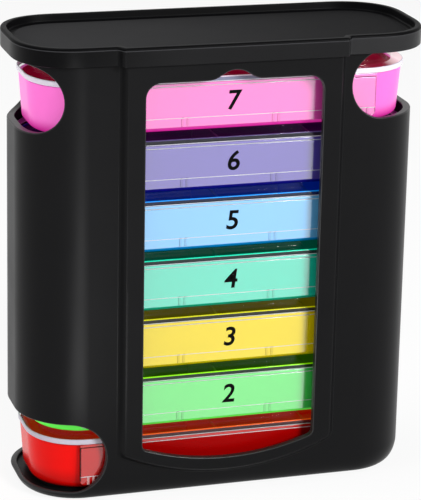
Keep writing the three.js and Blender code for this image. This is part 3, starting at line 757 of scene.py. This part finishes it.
def place_on_wall(s, reach_x, reach_y):
    """Plan position at s, which starts at the middle of the back and runs round by the left end"""
    s = np.clip(s, 0, ROUND)
    x, y = np.zeros_like(s), np.zeros_like(s)
    for segment, (start, end) in enumerate(zip(BREAKS, BREAKS[1:])):
        here = (s >= start) & (s <= end)
        along = s[here] - start
        if segment % 2 == 1:
            angle = math.pi / 2 * ((segment + 1) // 2) + along / OUTER_CORNER
            x[here] = (-1, -1, 1, 1)[segment // 2] * CORNER_X + reach_x[here] * np.cos(angle)
            y[here] = (1, -1, -1, 1)[segment // 2] * CORNER_Y + reach_y[here] * np.sin(angle)
        elif segment in (0, 8):
            x[here] = -along if segment == 0 else CORNER_X - along
            y[here] = CORNER_Y + reach_y[here]
        elif segment == 4:
            x[here] = along - CORNER_X
            y[here] = -CORNER_Y - reach_y[here]
        else:
            side = -1 if segment == 2 else 1
            x[here] = side * (CORNER_X + reach_x[here])
            y[here] = side * (along - CORNER_Y)
    return x, y


def bezier(points, steps):
    points = [np.array(p, float) for p in points]
    result = []
    for step in range(1, steps + 1):
        level = list(points)
        while len(level) > 1:
            level = [a + (b - a) * step / steps for a, b in zip(level, level[1:])]
        result.append(tuple(level[0]))
    return result


def arched_outline(half, top, corner, lowest, rise, foot_corner, hump=False):
    """Anticlockwise outline in x and z, seen from the front"""
    arch_half = half - foot_corner / 2
    radius = (arch_half ** 2 + rise ** 2) / (2 * rise)
    points = [
        (x, lowest + radius - math.sqrt(radius ** 2 - x ** 2))
        for x in np.linspace(-arch_half, arch_half, ARCH_STEPS + 1)
    ]
    start, end = points[0], points[-1]
    curl, bend_top = lowest + rise + foot_corner / 4, lowest + rise + foot_corner
    points += bezier([end, (half, curl), (half, bend_top)], CURL_STEPS)
    if corner:
        turn = [(math.cos(a), math.sin(a)) for a in np.linspace(0, math.pi / 2, WINDOW_TURNS + 1)]
        points += [(half - corner + corner * c, top - corner + corner * s) for c, s in turn]
        if hump:
            blend, peak = HUMP_HALF * HUMP_BLEND, top + HUMP_RISE
            points.append((HUMP_HALF, top))
            rise = [(HUMP_HALF, top), (HUMP_HALF - blend, top), (blend, peak), (0, peak)]
            points += bezier(rise, HUMP_STEPS)
            points += bezier([(-x, z) for x, z in reversed(rise)], HUMP_STEPS)
        points += [(corner - half - corner * c, top - corner + corner * s) for c, s in reversed(turn)]
    else:
        points += [(half, top), (-half, top)]
    points.append((-half, bend_top))
    points += bezier([(-half, bend_top), (-half, curl), start], CURL_STEPS)[:-1]
    return points


def inside(points, outline):
    """Which of the points lie inside a closed outline"""
    result = np.zeros(len(points), bool)
    x, y = points[:, 0], points[:, 1]
    for (x0, y0), (x1, y1) in zip(outline, np.roll(outline, -1, axis=0)):
        if y0 != y1:
            result ^= ((y0 > y) != (y1 > y)) & (x < (x1 - x0) * (y - y0) / (y1 - y0) + x0)
    return result


def distance(points, outline, closed=True):
    """Distance from each point to an outline"""
    following = np.roll(outline, -1, axis=0) if closed else outline[1:]
    result = np.full(len(points), np.inf)
    for a, b in zip(outline, following):
        way = b - a
        share = np.clip((points - a) @ way / (way @ way), 0, 1)
        result = np.minimum(result, np.linalg.norm(points - a - share[:, None] * way, axis=1))
    return result


def panel_outline(inward=0.0):
    top = TOWER_TOP + PANEL_OVERRUN
    return np.array(arched_outline(
        PANEL_HALF - inward, top, 0, PANEL_FOOT + inward, PANEL_FOOT_RISE, PANEL_FOOT_CORNER,
    ))


PANEL = panel_outline()


def panel_depth(spots):
    """Distance in from the panel's outline, negative outside it"""
    return distance(spots, PANEL) * np.where(inside(spots, PANEL), 1, -1)


def raised(x, z, front, height, slope, inward):
    """How far the panel, or the hollow behind it, stands forward at x and z"""
    result = np.zeros_like(x)
    near = front & (np.abs(x) < PANEL_HALF + slope)
    if near.any():
        depth = panel_depth(np.column_stack([x[near], z[near]])) - inward
        share = np.clip(depth / slope + 0.5, 0, 1)
        result[near] = height * (1 - np.cos(math.pi * share)) / 2
    return result


def outer_skin(s, z):
    up = np.maximum((z - FOOT_EDGE_HEIGHT) / (TOWER_TOP - FOOT_EDGE_HEIGHT), 0)
    down = np.clip((FOOT_EDGE_HEIGHT - z) / FOOT_EDGE_HEIGHT, 0, 1)
    reach = OUTER_CORNER - DRAFT * up - FOOT_EDGE_WIDTH * (1 - np.sqrt(1 - down * down))
    x, y = place_on_wall(s, reach, reach)
    y -= raised(x, z, y < 0, PANEL_RAISE, PANEL_SLOPE, 0)
    return np.column_stack([x, y, z])


def inner_skin(s, z):
    x, y = place_on_wall(s, np.full_like(s, INNER_CORNER_X), np.full_like(s, INNER_CORNER_Y))
    y -= raised(x, z, y < 0, HOLLOW_RAISE, HOLLOW_SLOPE, PANEL_SHELL)
    return np.column_stack([x, y, z])


def skin_normals(skin, s, z):
    """Outward normals of a skin"""
    along = skin(s + NORMAL_STEP, z) - skin(s - NORMAL_STEP, z)
    upward = skin(s, z + NORMAL_STEP) - skin(s, z - NORMAL_STEP)
    normal = np.cross(along, upward)
    return normal / np.linalg.norm(normal, axis=1)[:, None]


def s_at(x, front):
    """Way round the wall of a point given by x, at the front or at the back"""
    over = abs(x) - CORNER_X
    way = abs(x) if over <= 0 else CORNER_X + OUTER_CORNER * math.asin(min(over / OUTER_CORNER, 1))
    if front:
        return FRONT + math.copysign(way, x)
    return way if x < 0 else ROUND - way


def slot_outline(side, start, foot, top):
    """Outline in s and z of a slot that runs round one end; open at the top on the right"""
    radius = (top - foot) / 2
    middle, inner = foot + radius, start + radius
    turns = np.linspace(0, math.pi, SLOT_TURNS + 1)
    arc = [(inner - radius * math.sin(a), middle - radius * math.cos(a)) for a in turns]
    near = [(s_at(side * x, True), z) for x, z in arc]
    far = [(s_at(side * x, False), z) for x, z in arc]
    if side < 0:
        lower = [(s, foot) for s in np.linspace(far[0][0], near[0][0], SLOT_STEPS + 1)[1:-1]]
        upper = [(s, top) for s in np.linspace(near[-1][0], far[-1][0], SLOT_STEPS + 1)[1:-1]]
        return lower + near + upper + far[::-1]
    lower = [(s, foot) for s in np.linspace(near[0][0], far[0][0], SLOT_STEPS + 1)[1:-1]]
    return near[::-1] + lower + far


def offset_loop(loop, amount, closed):
    """Moves a loop into the material, which lies on the right of its direction"""
    before, after = np.roll(loop, 1, axis=0), np.roll(loop, -1, axis=0)
    if not closed:
        before[0], after[-1] = 2 * loop[0] - loop[1], 2 * loop[-1] - loop[-2]
    first, second = loop - before, after - loop
    first /= np.linalg.norm(first, axis=1)[:, None]
    second /= np.linalg.norm(second, axis=1)[:, None]
    way = first + second
    way /= np.linalg.norm(way, axis=1)[:, None]
    stretch = 1 / np.clip(np.sum(way * second, axis=1), LEAST_COSINE, 1)
    return loop + np.column_stack([way[:, 1], -way[:, 0]]) * (amount * stretch)[:, None]


def top_loop():
    """The wall's upper edge with the open right grip, from s = 0 round to s = ROUND"""
    start, foot, top = RIGHT_GRIP
    near, far = s_at(RIGHT_GRIP_SPUR, True), s_at(RIGHT_GRIP_SPUR, False)
    notch = [
        (s, z) for s, z in slot_outline(1, start, foot, top) if z < (foot + top) / 2 or not near < s < far
    ]
    before = [(s, TOWER_TOP) for s in np.linspace(0, near, TOP_STEPS + 1)]
    behind = [(s, TOWER_TOP) for s in np.linspace(far, ROUND, TOP_STEPS_BEHIND + 1)]
    return before + notch + behind


def resample(outline, step):
    """Points every step along a closed outline"""
    result = []
    for a, b in zip(outline, np.roll(outline, -1, axis=0)):
        count = max(1, round(np.linalg.norm(b - a) / step))
        result += [tuple(a + (b - a) * i / count) for i in range(count)]
    return result


def grid_points():
    columns = []
    for segment, (start, end) in enumerate(zip(BREAKS, BREAKS[1:])):
        count = max(2, round((end - start) / (CORNER_STEP if segment % 2 else STRAIGHT_STEP)))
        columns += list(np.linspace(start, end, count + 1)[:-1])
    low_rows = np.linspace(GROOVE_FOOT, FOOT_EDGE_HEIGHT + LOW_ROWS_PAST, LOW_ROWS + 1)[1:]
    rows = [*low_rows, *np.arange(FIRST_ROW, TOWER_TOP - TOP_ROOM, ROW_STEP)]
    grid = np.array([(s, z) for z in rows for s in columns[1:]])
    near = np.abs(grid[:, 0] - FRONT) < PANEL_HALF + GRID_GAP_OUTSIDE
    depth = panel_depth(grid[near] - (FRONT, 0))
    keep = np.ones(len(grid), bool)
    keep[near] = (depth < -GRID_GAP_OUTSIDE) | (depth > GRID_GAP_INSIDE)
    return grid[keep]


def panel_bands():
    """Points along the panel's soft side and along the side of the hollow behind it"""
    result = []
    soft = [PANEL_SLOPE * share for share in np.linspace(-0.5, 0.5, PANEL_SIDE_STEPS + 1)]
    for inward in soft + [PANEL_SHELL + HOLLOW_SLOPE * share for share in (-0.5, 0, 0.5)]:
        outline = resample(panel_outline(inward), PANEL_STEP)
        result += [(FRONT + x, z) for x, z in outline if z < TOWER_TOP - TOP_ROOM]
    return np.array(result)


def housing_loops():
    """The edges of window, exit and left grip, then the wall's upper edge, each with whether it is closed"""
    window = arched_outline(
        WINDOW_HALF, WINDOW_TOP, WINDOW_CORNER, WINDOW_FOOT, WINDOW_FOOT_RISE, WINDOW_FOOT_CORNER, hump=True,
    )
    holes = [[(FRONT + x, z) for x, z in window], slot_outline(-1, *EXIT), slot_outline(-1, *LEFT_GRIP)]
    return [(np.array(hole, float), True) for hole in holes] + [(np.array(top_loop(), float), False)]


def points_between(moved, loops, limit):
    """The mesh's points inside the wall's limit and clear of its edges"""
    result = []
    for extra, room in ((grid_points(), GRID_ROOM), (panel_bands(), PANEL_ROOM)):
        extra = extra[inside(extra, limit)]
        for loop, (_, closed) in zip(moved, loops):
            extra = extra[distance(extra, loop, closed) > room]
        for hole in moved[:-1]:
            extra = extra[~inside(extra, hole)]
        result += [tuple(p) for p in extra[extra[:, 1] > GROOVE_FOOT + FOOT_ROOM]]
    return result


def unrolled_wall(loops, foot):
    """The wall laid flat in s and z: its points and triangles, and its points along each loop and the foot"""
    moved = [offset_loop(loop, LIP, closed) for loop, closed in loops]
    limit = np.vstack([foot, moved[-1][::-1]])
    points, constraints = [], []

    def constrain(loop, closed):
        base, count = len(points), len(loop)
        points.extend(tuple(p) for p in loop)
        constraints.extend((base + i, base + (i + 1) % count) for i in range(count if closed else count - 1))
        return list(range(base, base + count))
    rims = [constrain(loop, closed) for loop, (_, closed) in zip(moved, loops)]
    foot_ids = constrain(foot, False)
    heights = np.linspace(GROOVE_FOOT, moved[-1][0][1], SEAM_STEPS + 1)[1:-1]
    for s, foot_end, top_end in ((0.0, foot_ids[0], rims[-1][0]), (ROUND, foot_ids[-1], rims[-1][-1])):
        ids = constrain(np.array([(s, z) for z in heights]), False)
        constraints.extend([(foot_end, ids[0]), (ids[-1], top_end)])
    points += points_between(moved, loops, limit)
    flat, _, faces, origin, _, _ = delaunay_2d_cdt(
        [Vector(p) for p in points], constraints, [], 0, MERGE_DISTANCE,
    )
    flat = np.array([tuple(p) for p in flat])
    new_id = {source: number for number, sources in enumerate(origin) for source in sources}
    middles = np.array([flat[list(face)].mean(axis=0) for face in faces])
    keep = inside(middles, limit)
    for hole in moved[:-1]:
        keep &= ~inside(middles, hole)
    triangles = []
    for (a, b, c), kept in zip(faces, keep):
        one, two = flat[b] - flat[a], flat[c] - flat[a]
        if kept:
            triangles.append((a, b, c) if one[0] * two[1] >= one[1] * two[0] else (a, c, b))
    return flat, triangles, [[new_id[i] for i in ids] for ids in rims], [new_id[i] for i in foot_ids]


class Skins:
    """The two skins of the housing wall, with what joins them"""

    def __init__(self):
        self.points, self.normals, self.faces, self.bands, self.count = [], [], [], [], 0

    def add(self, points, normals):
        self.points.append(points)
        self.normals.append(normals)
        self.count += len(points)
        return list(range(self.count - len(points), self.count))

    def face(self, ids, band=0):
        self.faces.append(tuple(ids))
        self.bands.append(band)

    def strip(self, rows, closed=False, band=0):
        for low, high in zip(rows, rows[1:]):
            number = len(low)
            for i in range(number if closed else number - 1):
                j = (i + 1) % number
                self.face((low[i], low[j], high[j], high[i]), band)

    def lip(self, loop, closed, outer_ids, inner_ids):
        """The rounded edge round an opening"""
        rows = [outer_ids]
        turns = np.linspace(0, math.pi / 2, LIP_STEPS + 1)[1:]
        steps = [(outer_skin, 1, turn) for turn in turns]
        steps += [(inner_skin, -1, turn) for turn in reversed(turns)]
        for skin, sign, turn in steps:
            shift = LIP * (1 - math.sin(turn))
            here, further = offset_loop(loop, shift, closed), offset_loop(loop, shift + LIP_LOOK, closed)
            surface = skin(here[:, 0], here[:, 1])
            facing = sign * skin_normals(skin, here[:, 0], here[:, 1])
            into = surface - skin(further[:, 0], further[:, 1])
            into /= np.linalg.norm(into, axis=1)[:, None]
            points = surface - facing * LIP * (1 - math.cos(turn))
            rows.append(self.add(points, facing * math.cos(turn) + into * math.sin(turn)))
        self.strip(rows + [inner_ids], closed, band=1)

    def foot(self, way, ids):
        """The outer skin's run down to the underside"""
        rows = [ids]
        for turn in np.linspace(0, math.pi / 2, FOOT_TURNS + 1)[1:]:
            level = np.full(len(way), GROOVE_FOOT * (1 - math.sin(turn)))
            normals = skin_normals(outer_skin, way, np.maximum(level, LOWEST_LEVEL))
            rows.append(self.add(outer_skin(way, level), normals))
        self.strip(rows[::-1])
        underside = outer_skin(way[:-1], np.zeros(len(way) - 1))
        self.face(self.add(underside, np.tile((0, 0, -1.0), (len(underside), 1)))[::-1])

    def stand(self, way):
        """The groove inside the wall's foot and the raised floor"""
        def inner_ring(inset, height):
            reach = [np.full_like(way, radius - inset) for radius in (INNER_CORNER_X, INNER_CORNER_Y)]
            return np.column_stack([*place_on_wall(way, *reach), np.full_like(way, height)])
        upward = np.tile((0, 0, 1.0), (len(way), 1))
        outward = skin_normals(inner_skin, way, np.full_like(way, FLOOR))
        corner, wall = inner_ring(0, GROOVE_FOOT), inner_ring(GROOVE_WIDTH, GROOVE_FOOT)
        stand = inner_ring(GROOVE_WIDTH, FLOOR)
        self.strip([self.add(corner, upward), self.add(wall, upward)])
        self.strip([self.add(wall, outward), self.add(stand, outward)])
        self.face(self.add(stand[:-1], upward[:-1]))


def make_housing():
    """Materials: 0 the wall, 1 the lips round its openings, polished and painted lighter as a highlight"""
    loops = housing_loops()
    way = np.linspace(0, ROUND, WAY_STEPS + 1)
    flat, triangles, rims, foot_ids = unrolled_wall(loops, np.array([(s, GROOVE_FOOT) for s in way]))
    skins, total = Skins(), len(flat)
    s, z = flat[:, 0], flat[:, 1]
    skins.add(outer_skin(s, z), skin_normals(outer_skin, s, z))
    skins.add(inner_skin(s, z), -skin_normals(inner_skin, s, z))
    for a, b, c in triangles:
        skins.face((a, b, c))
        skins.face((c + total, b + total, a + total))
    for (loop, closed), ids in zip(loops, rims):
        skins.lip(loop, closed, ids, [i + total for i in ids])
    skins.foot(way, foot_ids)
    skins.stand(way)
    return piece("housing", np.vstack(skins.points), skins.faces, [wall_black(), polished_black()], "housing",
                 ["tower_housing"], skins.bands, np.vstack(skins.normals).tolist())


# Studio, with its lengths in metres

# The share of plain white in the floor as it is seen; the rest shows the shadow
FLOOR_WHITE_SHARE = 0.88
FLOOR_SIZE, FLOOR_DROP = 6, 0.2 * MM
WORLD_LIGHT, WORLD_SEEN = 0.3, 1.0
LAMP_AIM = (0, 0, 0.075)
CARD_PLACE, CARD_WIDTH, CARD_LENGTH = (-0.065, -0.31, 0.002), 0.06, 0.42


def seen_ray(nodes, links):
    """1 for the rays that see the background: from the camera, or by way of a shiny or clear surface"""
    path = nodes.new("ShaderNodeLightPath")
    seen = path.outputs["Is Camera Ray"]
    for kind in ("Is Glossy Ray", "Is Transmission Ray"):
        either = nodes.new("ShaderNodeMath")
        either.operation = "MAXIMUM"
        links.new(seen, either.inputs[0])
        links.new(path.outputs[kind], either.inputs[1])
        seen = either.outputs[0]
    return seen


def make_world():
    world = bpy.data.worlds.new("studio")
    bpy.context.scene.world = world
    world.use_nodes = True
    nodes, links = world.node_tree.nodes, world.node_tree.links
    nodes.clear()
    strength = nodes.new("ShaderNodeMapRange")
    links.new(seen_ray(nodes, links), strength.inputs["Value"])
    set_inputs(strength, {"To Min": WORLD_LIGHT, "To Max": WORLD_SEEN})
    light = nodes.new("ShaderNodeBackground")
    links.new(strength.outputs["Result"], light.inputs["Strength"])
    out = nodes.new("ShaderNodeOutputWorld")
    links.new(light.outputs[0], out.inputs["Surface"])


def make_floor():
    bpy.ops.mesh.primitive_plane_add(size=FLOOR_SIZE)
    floor = bpy.context.object
    floor.name = "floor"
    floor.location.z = -FLOOR_DROP
    material = plastic("floor_white", (250, 250, 250), roughness=0.9, specular=0.1)
    nodes, links = material.node_tree.nodes, material.node_tree.links
    share = nodes.new("ShaderNodeMapRange")
    set_inputs(share, {"To Max": FLOOR_WHITE_SHARE})
    links.new(seen_ray(nodes, links), share.inputs["Value"])
    white = nodes.new("ShaderNodeEmission")
    mix = nodes.new("ShaderNodeMixShader")
    links.new(share.outputs["Result"], mix.inputs[0])
    links.new(nodes["Principled BSDF"].outputs[0], mix.inputs[1])
    links.new(white.outputs[0], mix.inputs[2])
    links.new(mix.outputs[0], nodes["Material Output"].inputs["Surface"])
    floor.data.materials.append(material)


def area_light(name, place, size, power, aim=LAMP_AIM):
    data = bpy.data.lights.new(name, "AREA")
    data.shape = "DISK"
    data.size = size
    data.energy = power
    light = new_object(name, data)
    light.location = place
    light.rotation_mode = "QUATERNION"
    light.rotation_quaternion = (Vector(place) - Vector(aim)).to_track_quat("Z", "Y")
    return light


def light_studio(black_things):
    area_light("key", place=(0.55, -0.95, 0.6), size=0.4, power=14)
    side = area_light("side", place=(-1.2, -0.15, 0.4), size=0.6, power=7)
    side.visible_glossy = False
    area_light("top", place=(-0.3, 0.1, 1.1), size=0.6, power=3)
    # A card on the ground draws the soft highlight down the black left corner, and lights nothing else
    card = area_light("card", CARD_PLACE, size=CARD_WIDTH, power=0.75, aim=(*CARD_PLACE[:2], 1))
    card.data.shape = "RECTANGLE"
    card.data.size_y = CARD_LENGTH
    card.visible_camera = False
    card.visible_diffuse = False
    card.light_linking.receiver_collection = bpy.data.collections.new("card_receivers")
    for thing in black_things:
        card.light_linking.receiver_collection.objects.link(thing)


make_camera()
make_boxes()
lid_of_tower = make_tower_lid()
housing = make_housing()
make_world()
make_floor()
light_studio([lid_of_tower, housing])
bpy.context.scene.view_settings.view_transform = "Standard"
